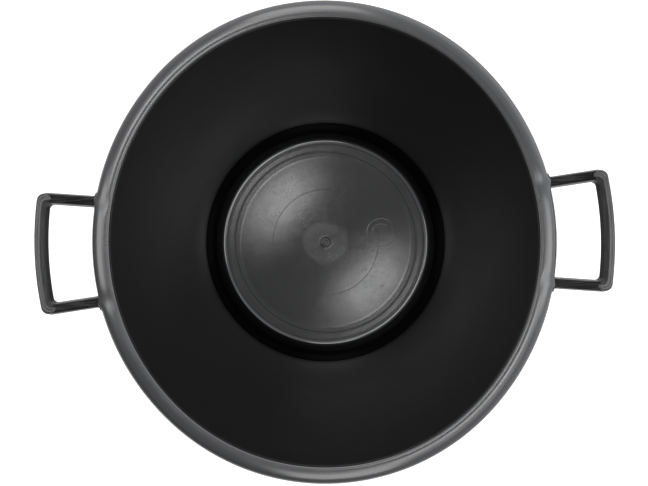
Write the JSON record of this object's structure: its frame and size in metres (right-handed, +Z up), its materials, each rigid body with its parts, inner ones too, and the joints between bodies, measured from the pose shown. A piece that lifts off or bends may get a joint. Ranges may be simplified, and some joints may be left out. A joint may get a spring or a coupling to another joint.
{
  "type": "garden tub",
  "caption": "Tapered black plastic garden tub with a round base, a slightly oval rolled rim and a stiff loop handle at each end that flexes upward when the tub is lifted.",
  "frame": {"origin": "centre of the underside of the foot ring, on the tub's axis, at ground level", "axes": "+Z up along the tub's axis, +X through the right handle, +Y across the tub"},
  "size_m": [0.589, 0.4868, 0.34],
  "materials": {
    "tub_plastic": "black polyethylene, satin, with fine moulding marks",
    "handle_plastic": "black polyethylene, matt",
    "grip_plastic": "black polyethylene, satin and slightly scuffed"
  },
  "bodies": {
    "tub": {"rim": "tub_plastic", "tub_wall": "tub_plastic", "base_corner": "tub_plastic", "floor": "tub_plastic", "foot_ring": "tub_plastic"},
    "handle_left": {"handle_bow_left": "handle_plastic", "grip_left": "grip_plastic"},
    "handle_right": {"handle_bow_right": "handle_plastic", "grip_right": "grip_plastic"}
  },
  "joints": [
    {"name": "handle_left_flex", "type": "hinge", "parent": "tub", "child": "handle_left", "pos_m": [-0.2365, 0, 0.3327], "axis": [0, 1, 0], "range_deg": [0, 45], "stiffness_Nm_per_rad": 3},
    {"name": "handle_right_flex", "type": "hinge", "parent": "tub", "child": "handle_right", "pos_m": [0.2365, 0, 0.3327], "axis": [0, -1, 0], "range_deg": [0, 45], "stiffness_Nm_per_rad": 3}
  ]
}
